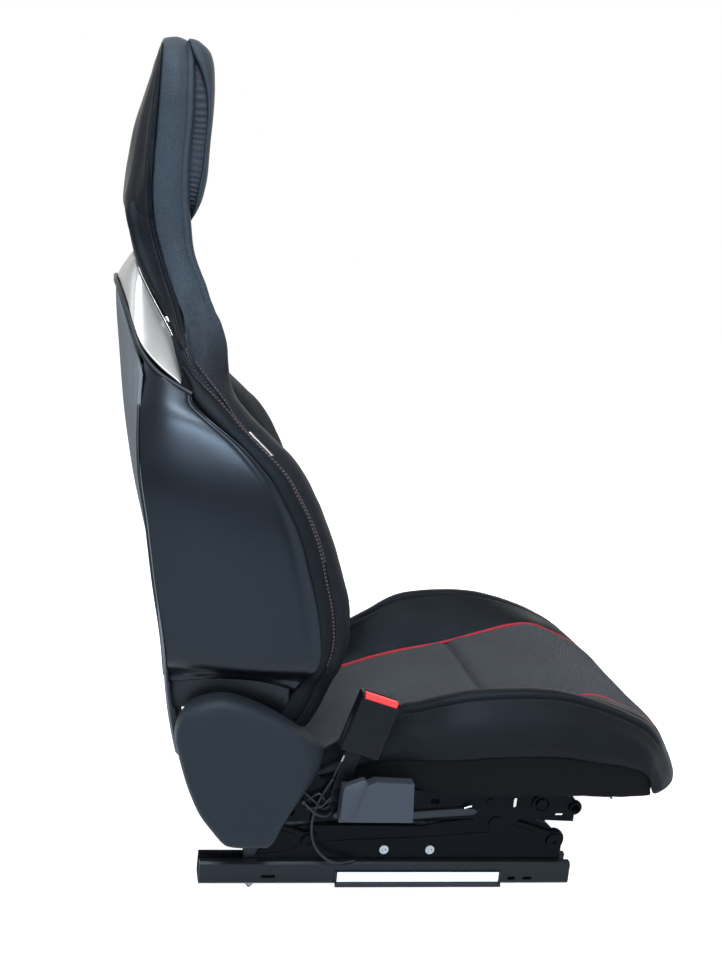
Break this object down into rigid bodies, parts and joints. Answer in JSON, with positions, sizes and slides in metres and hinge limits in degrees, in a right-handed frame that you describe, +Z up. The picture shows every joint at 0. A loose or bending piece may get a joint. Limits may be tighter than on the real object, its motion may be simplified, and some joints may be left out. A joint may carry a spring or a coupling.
{
  "type": "car seat",
  "caption": "Manual front car seat on adjuster rails: bucket backrest with integral head restraint, linkage height adjuster, recliner and belt buckle.",
  "frame": {"origin": "centre of the four floor bolts, at the underside of the lower rails", "axes": "+X forward, the way the sitter faces; +Y to the sitter's left; +Z up"},
  "size_m": [0.852, 0.5465, 1.117],
  "materials": {
    "rail_black": "black gloss paint on pressed steel",
    "zinc": "bright zinc plate",
    "base_metal": "satin black paint on pressed steel",
    "black_plastic": "fine grained moulding",
    "label_white": "blank white film",
    "cover_plastic": "coarse grained moulding",
    "box_grey": "smooth moulding",
    "cable_black": "round sheathed lead",
    "skirt_fabric": "black matte liner cloth",
    "cushion_fabric": "dark grey cloth with a fine diagonal weave",
    "leather_black": "smooth black leather with a fine grain",
    "side_satin": "satin blue-black moulding",
    "rear_grey": "matte grey grained moulding",
    "silver": "satin silver paint",
    "buckle_black": "fine grained moulding",
    "button_red": "coral red moulding"
  },
  "bodies": {
    "floor_rails": {"lower_rail_right": "rail_black", "lower_rail_left": "rail_black", "locating_pins": "zinc", "cable_duct": "black_plastic", "label_plate": "label_white"},
    "ball_cages": {"rail_ball_cages": "zinc"},
    "slider": {"upper_rail_right": "rail_black", "upper_rail_left": "rail_black", "risers": "rail_black", "riser_bolts": "zinc", "link_bolts": "zinc"},
    "release": {"release_bar": "zinc", "release_grip": "black_plastic", "rail_locks": "zinc"},
    "front_link": {"front_links": "rail_black", "front_torsion_tube": "rail_black"},
    "rear_link": {"rear_links": "rail_black", "rear_torsion_tube": "rail_black"},
    "base": {"base_side_right": "base_metal", "base_side_left": "base_metal", "front_cross_tube": "base_metal", "rear_cross_tube": "base_metal", "seat_pan": "base_metal", "suspension_wires": "zinc", "cushion": "cushion_fabric", "cushion_skirt": "skirt_fabric", "recliner_cover_right": "cover_plastic", "recliner_cover_left": "cover_plastic", "connector_box": "box_grey", "wiring_guide": "black_plastic", "outer_valance": "black_plastic", "buckle_cable": "cable_black", "buckle_anchor": "zinc"},
    "backrest": {"back_side_right": "base_metal", "back_side_left": "base_metal", "recliner_discs": "zinc", "back_crossmembers": "base_metal", "back_wires": "zinc", "frame_hoop": "base_metal", "back_pad": "cushion_fabric", "bolster_right": "leather_black", "bolster_left": "leather_black", "side_panel_right": "side_satin", "side_panel_left": "side_satin", "rear_panel": "rear_grey", "trim_collar": "silver", "head_band": "leather_black", "head_pad": "leather_black", "head_back_cover": "leather_black"},
    "recline_gear": {"recliner_shaft": "zinc", "recline_wheel": "black_plastic"},
    "height_handle": {"height_lever": "black_plastic"},
    "buckle": {"buckle_housing": "buckle_black", "buckle_strap": "black_plastic"},
    "buckle_release": {"buckle_button": "button_red"}
  },
  "joints": [
    {"name": "rail_slide", "type": "slide", "parent": "floor_rails", "child": "slider", "axis": [1, 0, 0], "range_m": [-0.11, 0.11]},
    {"name": "cage_slide", "type": "slide", "parent": "floor_rails", "child": "ball_cages", "axis": [1, 0, 0], "range_m": [-0.055, 0.055]},
    {"name": "release_lift", "type": "hinge", "parent": "slider", "child": "release", "pos_m": [0.078, 0, 0.049], "axis": [0, -1, 0], "range_deg": [0, 8], "stiffness_Nm_per_rad": 12, "springref_deg": -6.88},
    {"name": "height_lift", "type": "hinge", "parent": "slider", "child": "front_link", "pos_m": [0.236, 0, 0.065], "axis": [0, 1, 0], "range_deg": [0, 40]},
    {"name": "rear_link_turn", "type": "hinge", "parent": "slider", "child": "rear_link", "pos_m": [-0.118, 0, 0.062], "axis": [0, 1, 0], "range_deg": [0, 40]},
    {"name": "base_pivot", "type": "hinge", "parent": "front_link", "child": "base", "pos_m": [0.1447, 0, 0.09467], "axis": [0, 1, 0], "range_deg": [-40, 0]},
    {"name": "recline", "type": "hinge", "parent": "base", "child": "backrest", "pos_m": [-0.224, 0, 0.209], "axis": [0, -1, 0], "range_deg": [-12, 40]},
    {"name": "recline_wheel_turn", "type": "hinge", "parent": "base", "child": "recline_gear", "pos_m": [-0.224, 0, 0.209], "axis": [0, -1, 0], "range_deg": [-360, 1200]},
    {"name": "height_handle_pump", "type": "hinge", "parent": "base", "child": "height_handle", "pos_m": [0.02, 0, 0.106], "axis": [0, -1, 0], "range_deg": [-12, 22], "stiffness_Nm_per_rad": 2},
    {"name": "buckle_swivel", "type": "hinge", "parent": "base", "child": "buckle", "pos_m": [-0.082, 0, 0.14], "axis": [0, 1, 0], "range_deg": [-2.5, 8]},
    {"name": "buckle_press", "type": "slide", "parent": "buckle", "child": "buckle_release", "axis": [-0.2874, 0, -0.9578], "range_m": [0, 0.004], "stiffness_N_per_m": 800, "springref_m": -0.004}
  ],
  "couplings": [
    {"joint": "cage_slide", "follows": "rail_slide", "ratio": 0.5},
    {"joint": "rear_link_turn", "follows": "height_lift", "ratio": 1},
    {"joint": "base_pivot", "follows": "height_lift", "ratio": -1},
    {"joint": "recline_wheel_turn", "follows": "recline", "ratio": 30}
  ]
}
